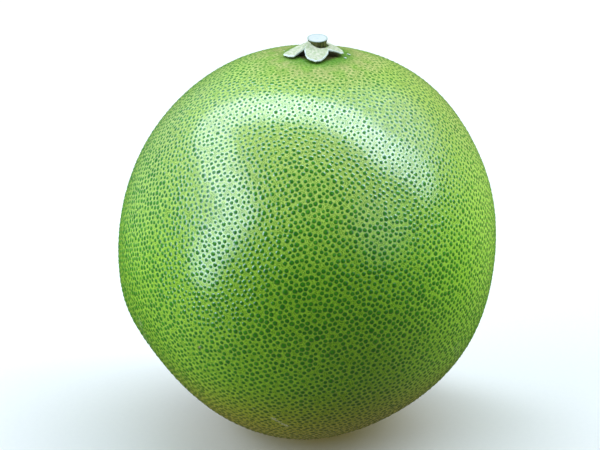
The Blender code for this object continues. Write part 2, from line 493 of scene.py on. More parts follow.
def close_foot(faces, points, normals, owner, outward, skin):
    """Adds the middle of the foot, and the fan of faces round it."""
    sides = np.sort(np.concatenate([faces[:, :2], faces[:, 1:], faces[:, ::2]]), axis=1)
    sides, uses = np.unique(sides, axis=0, return_counts=True)
    rim = sides[uses == 1]
    point, normal = skin.at(FOOT_WAY[None])
    fan = np.column_stack([rim, np.full(len(rim), len(points))])
    return (np.concatenate([faces, fan]), np.concatenate([points, point]),
            np.concatenate([normals, normal]), np.append(owner, -1),
            np.concatenate([outward, np.zeros((1, 3))]))


BESIDE = ("beside_gland_a", "beside_gland_b", "beside_gland_c")
TONE = "gland_tone"


def rind_object(settings):
    points, faces, corner_normals, beside, tone = rind_mesh(settings)
    mesh = bpy.data.meshes.new("rind")
    mesh.from_pydata(points.tolist(), [], faces.tolist())
    mesh.shade_smooth()
    for name, values in zip(BESIDE, beside):
        place = mesh.attributes.new(name, "FLOAT_VECTOR", "CORNER")
        place.data.foreach_set("vector", values.astype(np.float32).ravel())
    shade = mesh.attributes.new(TONE, "FLOAT", "FACE")
    shade.data.foreach_set("value", tone.astype(np.float32))
    mesh.normals_split_custom_set(corner_normals.reshape(-1, 3).tolist())
    return new_piece("rind_with_glands", mesh)


def new_piece(name, mesh):
    piece = bpy.data.objects.new(name, mesh)
    bpy.context.scene.collection.objects.link(piece)
    return piece


# ---------------------------------------------------------------- the rind's finish

RICH_NET = (0.42, 0.59, 0.096)
# From the middle down, the net is painted brighter and greener than near the top. This is painted
# light where less light falls, and painted shade on top where most light falls. Lowest down the net
# turns olive.
FLANK_NET = (0.45, 0.82, 0.040)
LOW_NET = (0.68, 0.60, 0.030)
YELLOW_NET = (0.66, 0.63, 0.19)
CROWN_NET = (0.22, 0.44, 0.045)
# Painted shade: the rind round the stem, where the calyx shadows it, is painted dark brown.
SHADE_UNDER_CALYX = (0.10, 0.085, 0.022)

# Places on the rind are directions from the fruit's middle: azimuth and elevation in degrees.
# A patch has its place, its core and reach as angles, and what its colour is multiplied by.
PATCHES = (
    # Partly the rind's greener side, and partly painted light that stands in for the wall's glow on
    # the right.
    ("right side painted greener and lighter", (-20, 0), 10, 60, (1.10, 1.24, 1.20)),
    # Painted shade on the low front, which faces the camera and gets no light from the front.
    ("painted shade on the low front", (-82, -18), 4, 50, (0.66, 0.74, 0.5)),
)
# A mark has its start, end, width, grain, colour and strength.
MARKS = (
    ("rubbed scratch", (-103.6, -43.0), (-98.4, -47.9), 0.80 * MM, 1.2 * MM,
     (1.0, 0.92, 0.56), 1.0),
    ("scratch's tail", (-99.6, -49.2), (-97.2, -47.6), 0.35 * MM, 0.7 * MM,
     (0.80, 0.74, 0.50), 0.55),
    ("pale nick", (-110.5, -38.4), (-109.8, -38.5), 0.40 * MM, 0.7 * MM,
     (0.80, 0.80, 0.45), 0.5),
    ("brown ring of a nick", (-124.0, -15.8), (-124.4, -16.4), 0.75 * MM, 1.1 * MM,
     (0.22, 0.15, 0.05), 0.55),
    ("nick", (-124.0, -15.9), (-124.3, -16.2), 0.42 * MM, 0.8 * MM, (0.95, 0.86, 0.84), 0.9),
    # The last two marks are broad pale streaks low on the flanks.
    ("left pale streak", (-156.0, -17.5), (-159.5, -38.0), 2.6 * MM, 2.6 * MM,
     (0.62, 0.74, 0.42), 0.35),
    ("right pale streak", (-33.5, -23.0), (-25.0, -31.0), 2.2 * MM, 2.0 * MM,
     (0.45, 0.72, 0.32), 0.22),
)
MARK_RAGS, MARK_GAPS = 4.5, 0.6

# How far out from a gland's middle things happen, in gland radii. A pair says where a change
# begins and where it is complete.
GLAND_WOBBLE = 0.40
GLAND_EDGE, GLAND_MIDDLE, GLAND_SHOULDER = (0.98, 0.66), (0.60, 0.15), (1.12, 0.62)
HALO_STARTS, HALO_ENDS = (0.95, 1.12), (1.50, 1.25)
BORDER_STARTS, BORDER_BETWEEN = (0.90, 1.05), (0.75, 0.12)
SKIRT_STARTS, SKIRT_ENDS = (0.46, 0.68), (1.30, 1.02)
WAX_STARTS, GLOSS_STARTS = (0.50, 0.95), (0.60, 1.05)
# The clear wax is thickest on the skirts of the domes, thin on the net and thinner on the glands.
WAX_ON_GLANDS, WAX_ON_NET = 0.06, 0.28
DULL_GLANDS, DULL_NET = 1.0, 0.34

# Heights above the floor, and distances from the stem, between which the rind's colour changes.
FLANK_HEIGHTS, LOW_HEIGHTS = (0.138, 0.076), (0.048, 0.012)
DEEP_HEIGHTS, SOFT_HEIGHTS = (0.075, 0.115), (0.050, 0.015)
FAINT_CROWN, YELLOW_CROWN = (10 * MM, 34 * MM), (34 * MM, 14 * MM)
GREEN_CROWN, SKIRTLESS_CROWN = (17 * MM, 10 * MM), (18 * MM, 40 * MM)
CALYX_SHADE, CALYX_DRY = (11.2 * MM, 9.2 * MM), (10 * MM, 12 * MM)


def rind_finish(settings):
    """Waxy green skin: a light net, dark glands with a pale ring round each, and soft mottling."""
    paint = Paint("waxy_green_rind")
    one, two, three = [paint.vectors("LENGTH", paint.attribute(name), output="Value")
                       for name in BESIDE]
    closest = paint.least(one, two)
    further = paint.most(one, two)
    second = paint.most(closest, paint.least(further, three))
    closest = paint.least(closest, three)
    nearest = closest + (paint.noise(0.8 * MM, 2) - 0.5) * GLAND_WOBBLE
    from_crown = paint.vectors("DISTANCE", paint.own_places, CROWN_POINT, "Value")
    shown = paint.ease(from_crown, *FAINT_CROWN, 0.22, 1.0)
    gland = paint.ease(nearest, *GLAND_EDGE) * shown
    middle = paint.ease(nearest, *GLAND_MIDDLE)
    halo = paint.ease(nearest, *HALO_ENDS) * paint.ease(nearest, *HALO_STARTS)
    border = paint.ease(second - closest, *BORDER_BETWEEN) * paint.ease(nearest, *BORDER_STARTS)
    lines = paint.most(halo, border) * shown
    cloudy = paint.noise(14 * MM, 3)
    speckled = paint.noise(1.1 * MM, 3)
    fine = paint.noise(0.55 * MM, 2)
    height = paint.add("ShaderNodeSeparateXYZ", None, {0: paint.own_places}, "Z")

    net = paint.blend(paint.ease(cloudy, 0.3, 0.7), tuple(settings.net_colour), RICH_NET)
    # Painted light and shade: the net is darker near the top, and brighter and greener lower down.
    net = paint.blend(paint.ease(height, *FLANK_HEIGHTS), net, FLANK_NET)
    net = paint.blend(paint.ease(height, *LOW_HEIGHTS), net, LOW_NET)
    net = paint.blend(paint.ease(from_crown, *YELLOW_CROWN)
                      * paint.ease(paint.noise(6 * MM, 3), 0.32, 0.62), net, YELLOW_NET)
    net = paint.blend(paint.ease(from_crown, *GREEN_CROWN), net, CROWN_NET)
    # The patches paint light on the right side and shade on the low front.
    for _, place, core, reach, change in PATCHES:
        way = paint.vectors("NORMALIZE", paint.vectors("SUBTRACT", paint.own_places,
                                                       FRUIT_MIDDLE))
        net = paint.tinted(paint.around(way, place, core, reach), net, change)
    net = paint.mottled(paint.ease(speckled, 0.35, 0.68), net,
                        (0.80, 0.86, 0.75), (1.18, 1.10, 1.25))
    net = paint.mottled(paint.ease(fine, 0.35, 0.65), net, (0.88, 0.92, 0.85), (1.14, 1.08, 1.2))
    net = paint.mottled(lines, net, (0.62, 0.71, 0.58), (1.42, 1.28, 1.5))
    depth = paint.blend(paint.attribute(TONE, "Fac"), (0.14, 0.50, 0.13), (0.33, 0.75, 0.30))
    depth = paint.tinted(paint.ease(height, *DEEP_HEIGHTS), depth, (0.74, 0.92, 0.74))
    depth = paint.blend(paint.ease(height, *SOFT_HEIGHTS), depth, (0.42, 0.48, 0.42))
    dark = paint.times(net, depth)
    dark = paint.tinted(middle * 0.45, dark, (1.5, 1.25, 1.3))
    colour = paint.blend(gland, net, dark)
    # Painted shade: round the stem, under the calyx, the rind is painted dark brown.
    under_calyx = paint.noise(1.5 * MM, 3, seed=6.0) * (3 * MM) + from_crown
    colour = paint.blend(paint.ease(under_calyx, *CALYX_SHADE), colour, SHADE_UNDER_CALYX)
    for _, start, end, width, grain, mark_colour, strength in MARKS:
        colour = paint.blend(paint.streak(start, end, width, grain) * strength, colour,
                             mark_colour)
    shoulder = paint.ease(nearest, *GLAND_SHOULDER)
    relief = paint.bump(paint.noise(0.75 * MM, 2), 0.03 * MM, paint.bump(shoulder, 0.03 * MM))
    skirt = paint.ease(nearest, *SKIRT_STARTS) * paint.ease(nearest, *SKIRT_ENDS)
    skirt = skirt * paint.ease(from_crown, *SKIRTLESS_CROWN, 0.10, 1.0)
    wax = paint.ease(nearest, *WAX_STARTS, WAX_ON_GLANDS, WAX_ON_NET) * (1 - skirt) + skirt
    wax = wax * paint.ease(under_calyx, *CALYX_DRY)
    dullness = paint.ease(nearest, *GLOSS_STARTS, DULL_GLANDS, DULL_NET)
    return paint.finish(Base_Color=colour, Roughness=dullness, Normal=relief, IOR=1.45,
                        Specular_IOR_Level=0.35, Coat_Weight=wax, Coat_Roughness=0.15,
                        Coat_IOR=2.2)


# ---------------------------------------------------------------- the crown, under the calyx

CROWN_REACH = 17 * MM
CROWN_SAMPLES = 13
CROWN_DEGREE = 4


def crown_terms(flat):
    """Powers of a flat place about the stem's axis, for fitting and reading the crown."""
    x, y = (flat / CROWN_REACH).T
    return np.stack([x ** i * y ** j for i in range(CROWN_DEGREE + 1)
                     for j in range(CROWN_DEGREE + 1 - i)], axis=1)


class Crown:
    """The rind's height round the stem, as one smooth surface."""

    def __init__(self):
        self.axis = np.array(STEM_AXIS)[:2]
        steps = np.linspace(-CROWN_REACH, CROWN_REACH, CROWN_SAMPLES)
        x, y = (grid.ravel() for grid in np.meshgrid(steps, steps))
        top = STEM_LOW.z - FRUIT_MIDDLE.z
        ways = unit(np.stack([x + self.axis[0] - FRUIT_MIDDLE.x, y + self.axis[1] - FRUIT_MIDDLE.y,
                              np.full(len(x), top)], axis=1))
        points = Skin().at(ways)[0]
        terms = crown_terms(points[:, :2] - self.axis)
        self.fit = np.linalg.lstsq(terms, points[:, 2], rcond=None)[0]

    def height(self, flat):
        """Height of the rind at flat places, given from the stem's axis."""
        return crown_terms(flat) @ self.fit

    def standing(self, flat, lift):
        """Places in the room, that far above the rind."""
        return np.column_stack([flat + self.axis, self.height(flat) + lift])


def round_stem(azimuth, reach):
    """Flat places about the stem's axis, from azimuths in degrees and reaches in metres."""
    turn = np.radians(azimuth)
    return np.stack([np.cos(turn) * reach, np.sin(turn) * reach], axis=-1)


def ripple(turn, waves, draw):
    """A smooth random wave round a closed ring, mostly within -1 to 1."""
    total = np.zeros_like(turn)
    for count in waves:
        total += draw.normal(0, 1) * np.cos(count * turn + draw.uniform(0, 2 * math.pi))
    return total / math.sqrt(len(waves))


# ---------------------------------------------------------------- the calyx

# Each lobe's edge, from the notch it starts at to the notch it ends at: azimuth about the
# stem in degrees, and reach in millimetres.
LOBES = (
    ((-146, 6.0), (-126, 8.0), (-112, 10.4), (-94, 11.8), (-80, 10.8), (-62, 8.1), (-46, 6.0)),
    ((-46, 6.0), (-28, 8.3), (-22, 10.0), (-8, 9.9), (18, 6.8), (44, 5.6)),
    ((44, 5.6), (64, 7.6), (80, 9.2), (99, 9.4), (117, 7.8), (136, 5.7)),
    ((136, 5.7), (176, 8.7), (191, 13.2), (203, 12.8), (217, 11.7), (217, 9.0), (214, 6.0)),
)
LOBE_COLUMNS = 60
CURVE_STEPS = 24
UPPER_ROWS, UNDER_ROWS = 26, 10
CALYX_BORE = 4.3 * MM
COLLAR_REACH, TIP_REACH = 5.2 * MM, 13.5 * MM
COLLAR_LIFT, TIP_LIFT = 2.2 * MM, 0.40 * MM
COLLAR_THICKNESS, TIP_THICKNESS = 0.90 * MM, 0.50 * MM
ROWS_CLOSING = 1.6
# The rim is rounded through these shares of the leaf's thickness, and carries a bead.
RIM_STEPS = (0.30, 0.5, 0.75)
RIM_BEAD, RIM_ROLL = 0.13 * MM, 0.16 * MM
BEAD_INSET, BEAD_WIDTH = 0.20 * MM, 0.16 * MM
RIM_WOBBLE, RIM_SHARPNESS = 0.45 * MM, 0.55
EDGE_WAVE, EDGE_WAVES = 0.10 * MM, range(17, 47)
LEAF_WAVE = 0.09 * MM

# The collar's lip, which still clings to one side of the stem.
LIP_AZIMUTH, LIP_SPREAD = 213, 42
LIP_HEIGHT = 2.2 * MM
LIP_FOOT = 6.4 * MM


def smooth_through(points, count):
    """That many places at even steps along a smooth curve through the given ones."""
    points = np.asarray(points)
    ends = np.concatenate([2 * points[:1] - points[1:2], points, 2 * points[-1:] - points[-2:-1]])
    step = np.linspace(0, 1, CURVE_STEPS, endpoint=False)[:, None]
    parts = [(2 * b + (c - a) * step + (2 * a - 5 * b + 4 * c - d) * step ** 2
              + (3 * b - a - 3 * c + d) * step ** 3) / 2
             for a, b, c, d in zip(ends, ends[1:], ends[2:], ends[3:])]
    curve = np.concatenate(parts + [points[-1:]])
    lengths = np.append(0, np.cumsum(np.linalg.norm(np.diff(curve, axis=0), axis=1)))
    wanted = np.linspace(0, lengths[-1], count)
    return np.column_stack([np.interp(wanted, lengths, part) for part in curve.T])


def calyx_columns():
    """Flat places on the bore and, beside each, on the calyx's outer edge."""
    inner, outer = [], []
    for lobe in LOBES:
        edge = smooth_through([round_stem(azimuth, reach * MM) for azimuth, reach in lobe],
                              LOBE_COLUMNS + 1)[:-1]
        share = np.arange(LOBE_COLUMNS) / LOBE_COLUMNS
        inner.append(round_stem(lobe[0][0] + (lobe[-1][0] - lobe[0][0]) * share, CALYX_BORE))
        outer.append(edge)
    return np.concatenate(inner), np.concatenate(outer)


def calyx_mesh():
    """A four-lobed tent of thin dry leaf, with a beaded rim and a lip against the stem."""
    draw = np.random.default_rng(7)
    crown = Crown()
    inner, outer = calyx_columns()
    columns = len(inner)
    turn = np.arange(columns) * 2 * math.pi / columns
    outer = outer * (1 + EDGE_WAVE * ripple(turn, EDGE_WAVES, draw)[:, None]
                     / np.linalg.norm(outer, axis=1, keepdims=True))
    upper = 1 - (1 - np.linspace(0, 1, UPPER_ROWS)) ** ROWS_CLOSING
    under = np.linspace(1, 0, UNDER_ROWS)
    shares = np.concatenate([upper, np.ones(len(RIM_STEPS)), under])
    beneath = np.concatenate([np.zeros(UPPER_ROWS), RIM_STEPS, np.ones(UNDER_ROWS)])
    flat = inner + (outer - inner) * shares[:, None, None]
    # The edge's middle stands out a little, so that the rim is round.
    bulge = np.where((beneath > 0) & (beneath < 1), RIM_ROLL * np.sin(beneath * math.pi), 0)
    flat += unit(outer) * bulge[:, None, None]
    reach = np.linalg.norm(flat, axis=2)
    droop = np.clip((reach - COLLAR_REACH) / (TIP_REACH - COLLAR_REACH), 0, 1)
    lift = COLLAR_LIFT + (TIP_LIFT - COLLAR_LIFT) * droop
    thick = COLLAR_THICKNESS + (TIP_THICKNESS - COLLAR_THICKNESS) * droop
    rim = outer.reshape(-1, 2)
    from_edge = np.stack([np.linalg.norm(row[:, None] - rim[None], axis=2).min(axis=1)
                          for row in flat])
    wave = np.stack([ripple_field(row) for row in flat])
    bead = RIM_BEAD * np.exp(-((from_edge - BEAD_INSET) / BEAD_WIDTH) ** 2)
    azimuth = np.degrees(np.arctan2(flat[..., 1], flat[..., 0])) % 360
    lip = LIP_HEIGHT * np.exp(-((azimuth - LIP_AZIMUTH) / LIP_SPREAD) ** 2) \
        * np.clip((LIP_FOOT - reach) / (LIP_FOOT - CALYX_BORE), 0, 1) ** 1.5
    top = lift + thick + bead + lip + LEAF_WAVE * wave * (0.25 + droop)
    bottom = lift + 0.3 * LEAF_WAVE * wave
    heights = top + (bottom - top) * beneath[:, None]
    points = crown.standing(flat.reshape(-1, 2), heights.reshape(-1))
    rows = len(shares)
    here = np.arange(rows * columns).reshape(rows, columns)
    after = np.roll(here, -1, axis=1)
    around = np.roll(here, -1, axis=0)
    faces = np.stack([here, around, np.roll(around, -1, axis=1), after], axis=-1).reshape(-1, 4)
    return points, faces, from_edge.reshape(-1), np.repeat(beneath, columns), reach.reshape(-1)


def ripple_field(flat):
    """A gentle cockle over the lobes, the same on both sides of the leaf."""
    x, y = flat.T / MM
    return 0.5 * np.sin(1.9 * x + 0.7 * y + 0.4) * np.cos(1.3 * y - 0.8 * x) \
        + 0.35 * np.sin(3.7 * y + 1.1 * x + 2.0) + 0.25 * np.cos(4.9 * x - 2.3 * y)


FROM_EDGE, BENEATH, FROM_STEM = "from_edge", "beneath", "from_stem"


def calyx_object():
    points, faces, from_edge, beneath, reach = calyx_mesh()
    mesh = solid_mesh("calyx", points, faces)
    for name, values in ((FROM_EDGE, from_edge), (BENEATH, beneath), (FROM_STEM, reach)):
        keep_values(mesh, name, values)
    return new_piece("dry_calyx", mesh)


def solid_mesh(name, points, faces):
    """A closed smooth mesh with its faces outward."""
    mesh = bpy.data.meshes.new(name)
    mesh.from_pydata(points.tolist(), [], [list(face) for face in faces])
    maker = bmesh.new()
    maker.from_mesh(mesh)
    bmesh.ops.recalc_face_normals(maker, faces=maker.faces)
    maker.to_mesh(mesh)
    maker.free()
    mesh.shade_smooth()
    return mesh


def keep_values(mesh, name, values):
    """Stores one number for each corner point, for the finish to read."""
    layer = mesh.attributes.new(name, "FLOAT", "POINT")
    layer.data.foreach_set("value", np.asarray(values, np.float32))


def calyx_finish(settings):
    """Dry pale leaf, finely mottled, with bleached rims and an underside painted dark brown-green
    as shade.
    """
    paint = Paint("dry_calyx_leaf")
    from_edge = paint.attribute(FROM_EDGE, "Fac")
    mottle = paint.noise(0.9 * MM, 4)
    fleck = paint.noise(0.45 * MM, 2, seed=1.0)
    leaf = paint.mottled(paint.ease(mottle, 0.35, 0.65), tuple(settings.leaf_colour),
                         (0.82, 0.90, 0.78), (1.20, 1.12, 1.28))
    leaf = paint.tinted(paint.ease(fleck, 0.60, 0.72) * 0.45, leaf, (0.72, 0.82, 0.66))
    wobble = from_edge + (paint.noise(1.0 * MM, 2, seed=2.0) - 0.5) * RIM_WOBBLE
    rim = paint.ease(wobble, settings.rim_width, settings.rim_width * RIM_SHARPNESS)
    leaf = paint.blend(rim, leaf, tuple(settings.rim_colour))
    # Painted shade: the leaf's underside is painted dark brown-green.
    shade = paint.blend(paint.ease(mottle, 0.4, 0.6), (0.10, 0.090, 0.025), (0.20, 0.16, 0.06))
    leaf = paint.blend(paint.ease(paint.attribute(BENEATH, "Fac"), 0.55, 0.85), leaf, shade)
    grain = paint.bump(fleck, 0.05 * MM, paint.bump(mottle, 0.10 * MM))
    return paint.finish(Base_Color=leaf, Roughness=0.72, Normal=grain, IOR=1.4,
                        Specular_IOR_Level=0.35)


# ---------------------------------------------------------------- the stem

STEM_COLUMNS, SIDE_ROWS, FACE_ROWS = 144, 22, 30
STEM_RADIUS, STEM_WAIST = 4.0 * MM, 3.72 * MM
FACE_LIP = 0.16 * MM
FACE_DISH = 0.14 * MM
GROWTH_RING = 0.62 * MM
RING_RELIEF = 0.022 * MM
SHOULDER_DROP = 0.42 * MM
BARK_INSET = 0.15 * MM
# The lip rolls over from the side to the face: how far out it stands and how far below the top,
# in millimetres, and how much of it is cut face.
LIP_ROLL = ((0.00, 0.26, 0.3), (0.06, 0.14, 0.8), (0.02, 0.04, 1.0))
PITH_EDGE, PITH_COLOUR = (0.55 * MM, 0.25 * MM), (0.55, 0.60, 0.42)
GREEN_EDGE, GREEN_WOOD = (3.25 * MM, 3.5 * MM), (0.50, 0.55, 0.42)
# The cut slants: it is higher at the back, and the side's top is slanted to match.
FACE_TILT = -0.012
FACE_SLANT = 0.15
SLANT_RISE = 0.75 * MM


def drum_faces(rings, columns, start=0):
    """Faces between rings of corners, with the first ring and the last one closed."""
    here = start + np.arange(rings * columns).reshape(rings, columns)
    after = np.roll(here, -1, axis=1)
    quads = np.stack([here[:-1], after[:-1], after[1:], here[1:]], axis=-1).reshape(-1, 4)
    return quads.tolist() + [here[0].tolist(), here[-1].tolist()]


def stem_mesh(settings):
    """The stem's cut end: a ridged side with a waist, and a cut face with a ragged lip."""
    draw = np.random.default_rng(11)
    top = STEM_HIGH.z
    turn = np.arange(STEM_COLUMNS) * 2 * math.pi / STEM_COLUMNS
    ridges = ripple(turn, (9, 14, 19, 27, 38), draw)
    swell = ripple(turn, (2, 3), draw)
    ragged = ripple(turn, (6, 11, 17, 25, 33), draw)
    rings, face = [], []
    for share in np.linspace(0, 1, SIDE_ROWS):
        level = STEM_LOW.z + (top - SHOULDER_DROP - STEM_LOW.z) * share
        radius = STEM_WAIST + (STEM_RADIUS - STEM_WAIST) * abs(2 * share - 1.1) ** 2
        radius = radius - BARK_INSET + 0.05 * MM * swell + settings.ridge_height * ridges \
            * (0.6 + 0.4 * math.sin(9 * share)) + 0.03 * MM * math.sin(31 * share)
        rings.append((radius, np.full(STEM_COLUMNS, level)))
        face.append(0.0)
    lip = STEM_RADIUS - 0.06 * MM + FACE_LIP * 0.35 * ragged
    for out, drop, is_face in LIP_ROLL:
        rings.append((np.minimum(lip + out * MM, STEM_RADIUS + 0.02 * MM),
                      top - (drop + 0.04 * ragged * (drop > 0.1)) * MM))
        face.append(is_face)
    for share in np.linspace(0.96, 0.04, FACE_ROWS):
        radius = lip * share
        dish = FACE_DISH * (1 - share ** 3)
        rings.append((radius, top - 0.02 * MM - dish + RING_RELIEF
                      * np.sin(2 * math.pi * radius / GROWTH_RING) + 0.015 * MM * ragged * share))
        face.append(1.0)
    points = []
    for radius, level in rings:
        x, y = radius * np.cos(turn), radius * np.sin(turn)
        height = np.clip((level - STEM_LOW.z) / (top - STEM_LOW.z), 0, 1)
        slanted = level + height * (FACE_TILT * x + FACE_SLANT * y + SLANT_RISE)
        points.append(np.column_stack([STEM_AXIS.x + x, STEM_AXIS.y + y, slanted]))
    faces = drum_faces(len(rings), STEM_COLUMNS)
    return np.concatenate(points), faces, np.repeat(face, STEM_COLUMNS)


CUT_FACE = "cut_face"


def stem_object(settings):
    points, faces, cut = stem_mesh(settings)
    mesh = solid_mesh("stem", points, faces)
    keep_values(mesh, CUT_FACE, cut)
    return new_piece("cut_stem", mesh)


def stem_finish(settings):
    """Olive-brown bark with dark streaks, and near-white cut wood with faint rings."""
    paint = Paint("olive_bark_and_cut_wood")
    cut = paint.ease(paint.attribute(CUT_FACE, "Fac"), 0.15, 0.75)
    off_axis = paint.vectors("SUBTRACT", paint.own_places, STEM_AXIS)
    streaked = paint.noise(1.1 * MM, 3, paint.vectors("MULTIPLY", off_axis, (1.0, 1.0, 0.35)))
    blotch = paint.noise(1.6 * MM, 3, seed=4.0)
    bark = paint.mottled(paint.ease(streaked, 0.38, 0.62), tuple(settings.bark_colour),
                         (0.40, 0.36, 0.40), (1.7, 1.5, 1.6))
    bark = paint.blend(paint.ease(blotch, 0.55, 0.75) * 0.6, bark, (0.30, 0.24, 0.15))
    middle = paint.vectors("LENGTH", paint.vectors("MULTIPLY", off_axis, (1.0, 1.0, 0.0)),
                           output="Value")
    ring = paint.maths("SINE", middle * (2 * math.pi / GROWTH_RING) + streaked * 2.5)
    wood = paint.tinted(paint.ease(ring, -0.6, 1.0) * 0.5, tuple(settings.wood_colour),
                        (0.80, 0.88, 0.92))
    wood = paint.tinted(paint.ease(blotch, 0.5, 0.7) * 0.4, wood, (0.86, 0.92, 0.96))
    wood = paint.blend(paint.ease(middle, *PITH_EDGE) * 0.5, wood, PITH_COLOUR)
    wood = paint.blend(paint.ease(middle, *GREEN_EDGE), wood, GREEN_WOOD)
    colour = paint.blend(cut, bark, wood)
    relief = paint.bump(streaked, 0.10 * MM, paint.bump(paint.noise(0.3 * MM, 2), 0.03 * MM))
    return paint.finish(Base_Color=colour, Roughness=0.68, Normal=relief, IOR=1.45,
                        Specular_IOR_Level=0.3)


# ---------------------------------------------------------------- dry flecks on the crown

# Crumbs of dry calyx that lie on the rind: azimuth about the stem and reach from it, the way
# their length points, and their length and width. Angles in degrees, the rest in millimetres.
FLECKS = (
    (4.0, 12.2, -35, 1.75, 0.62),
    (-19.8, 11.5, 12, 0.95, 0.72),
    (163.0, 13.5, 70, 0.50, 0.40),
)
FLECK_COLUMNS = 18
FLECK_RINGS = ((1.0, 0.0), (1.06, 0.35), (0.92, 0.75), (0.6, 0.95), (0.25, 1.0))
FLECK_THICKNESS = 0.24 * MM
FLECK_SINK = 0.03 * MM
FLECK_RAGS, FLECK_CRUMPLE = 0.16, 0.04 * MM
DOME_TOPS = 0.10 * MM


def flecks_object():
    draw = np.random.default_rng(5)
    crown = Crown()
    turn = np.arange(FLECK_COLUMNS) * 2 * math.pi / FLECK_COLUMNS
    points, faces = [], []
    for azimuth, reach, points_to, length, width in FLECKS:
        start = sum(len(part) for part in points)
        ragged = 1 + FLECK_RAGS * ripple(turn, (2, 3, 5, 7), draw)
        lean = math.radians(points_to)
        along = np.array([math.cos(lean), math.sin(lean)])
        side = np.array([-along[1], along[0]])
        middle = round_stem(azimuth, reach * MM)
        for share, rise in FLECK_RINGS:
            ring = middle + (np.cos(turn) * ragged * share)[:, None] * along * length * MM / 2 \
                + (np.sin(turn) * ragged * share)[:, None] * side * width * MM / 2
            lift = DOME_TOPS - FLECK_SINK + FLECK_THICKNESS * rise \
                + FLECK_CRUMPLE * rise * ripple(turn, (2, 3, 4), draw)
            points.append(crown.standing(ring, np.broadcast_to(lift, turn.shape)))
        faces += drum_faces(len(FLECK_RINGS), FLECK_COLUMNS, start)
    return new_piece("dry_flecks", solid_mesh("flecks", np.concatenate(points), faces))


def fleck_finish():
    """Bleached crumbs, a little darker in their hollows."""
    paint = Paint("bleached_fleck")
    crumbly = paint.noise(0.3 * MM, 3)
    colour = paint.blend(paint.ease(crumbly, 0.35, 0.65), (0.72, 0.76, 0.58), (0.95, 0.94, 0.86))
    return paint.finish(Base_Color=colour, Roughness=0.8, Normal=paint.bump(crumbly, 0.06 * MM),
                        IOR=1.4, Specular_IOR_Level=0.3)


# ---------------------------------------------------------------- the stage

STAGE_RADIUS = 3.0
FLOOR_DROP = 0.05 * MM
FLOOR_SPECKLE = 0.985

# The room's light comes through one long arched window, which bends over the fruit from low on
# the left to the right. Its bends have their place and brightness. A place is an azimuth and an
# elevation in degrees; azimuth 0 is +X and -90 is the camera's side. The window is full within
# its core and gone at its reach, both as angles from its middle line.
DAYLIGHT = (0.63, 0.79, 1.0)
WARM_WALL = (0.95, 1.0, 0.40)
WINDOW_CORE, WINDOW_REACH = 3, 14
WINDOW = (
    ("low left end", (-153, -3), 4.0),
    ("left front bend", (-137, 28), 3.5),
    ("left shoulder", (147, 41), 4.1),
    ("top", (130, 74), 7.6),
    ("right shoulder", (-7, 49), 5.5),
    ("right end", (3, 27), 3.0),
)

# Curtains beside the window, a card and the walls glow softly. A glow has its place, its core
# and reach as angles, its brightness and its colour.
GLOWS = (
    ("left curtain", (-153, 27), 4, 34, 1.2, DAYLIGHT),
    ("right curtain", (24, 47), 4, 32, 1.6, DAYLIGHT),
    ("right front card", (-40, 20), 3, 24, 0.7, DAYLIGHT),
    ("left low wall", (-175, -8), 10, 55, 0.16, DAYLIGHT),
    ("right low wall", (15, -18), 10, 60, 0.14, WARM_WALL),
    ("right back wall", (48, 12), 8, 45, 0.5, WARM_WALL),
    ("left back wall", (140, 20), 8, 45, 0.45, DAYLIGHT),
    ("floor glow", (-90, -80), 20, 85, 0.17, WARM_WALL),
)
ROOM_BRIGHTNESS = 0.03


def lay_floor(settings):
    maker = bmesh.new()
    bmesh.ops.create_circle(maker, cap_ends=True, segments=96, radius=STAGE_RADIUS)
    mesh = bpy.data.meshes.new("floor")
    maker.to_mesh(mesh)
    maker.free()
    floor = new_piece("pale_floor", mesh)
    floor.location.z = -FLOOR_DROP
    paint = Paint("pale_matte_floor")
    speckle = paint.noise(2 * MM, 3)
    colour = paint.blend(paint.ease(speckle, 0.3, 0.7), tuple(settings.floor_colour),
                         tuple(FLOOR_SPECKLE * c for c in settings.floor_colour))
    mesh.materials.append(paint.finish(Base_Color=colour, Roughness=0.8, Specular_IOR_Level=0.2,
                                       Normal=paint.bump(speckle, 0.02 * MM)))
    # The floor is only looked at: it throws no light back up at the fruit.
    floor.visible_diffuse = False
    floor.visible_glossy = False


def pane(room, way, first, last):
    """The brightness of one stretch of the long window, between two of its bends."""
    (_, start, first_brightness), (_, end, last_brightness) = first, last
    start = way_to(*start)
    along = way_to(*end) - start
    share = room.vectors("DOT_PRODUCT", room.vectors("SUBTRACT", way, start),
                         along / along.length_squared, "Value")
    share = room.least(room.most(share, 0.0), 1.0)
    line = room.vectors("NORMALIZE", room.vectors("ADD", start, room.scaled(along, share)))
    beside = room.ease(room.vectors("DOT_PRODUCT", way, line, "Value"),
                       math.cos(math.radians(WINDOW_REACH)), math.cos(math.radians(WINDOW_CORE)))
    return beside * (share * (last_brightness - first_brightness) + first_brightness)


def light_room():
    """A dim room lit by the long window and the soft glows. The camera sees it as plain white."""
    world = bpy.data.worlds.new("studio_room")
    world.use_nodes = True
    room = Paint(tree=world.node_tree)
    way = room.add("ShaderNodeTexCoord", output="Generated")
    window = 0.0
    for first, last in zip(WINDOW, WINDOW[1:]):
        window = room.most(window, pane(room, way, first, last))
    light = room.vectors("ADD", tuple(ROOM_BRIGHTNESS * part for part in DAYLIGHT),
                         room.scaled(DAYLIGHT, window))
    for _, place, core, reach, brightness, tint in GLOWS:
        share = room.around(way, place, core, reach, brightness)
        light = room.vectors("ADD", light, room.scaled(tint, share))
    lit = room.add("ShaderNodeBackground", None, {"Color": light, "Strength": 1.0})
    seen = room.add("ShaderNodeBackground", None, {"Color": (1, 1, 1, 1), "Strength": 1.0})
    by_camera = room.add("ShaderNodeLightPath", output="Is Camera Ray")
    both = room.add("ShaderNodeMixShader", None, {0: by_camera, 1: lit, 2: seen})
    room.feed(world.node_tree.nodes["World Output"].inputs["Surface"], both)
    bpy.context.scene.world = world


SENSOR = 36.0
LEFT_SHIFT = -0.0120
UP_SHIFT = 0.029


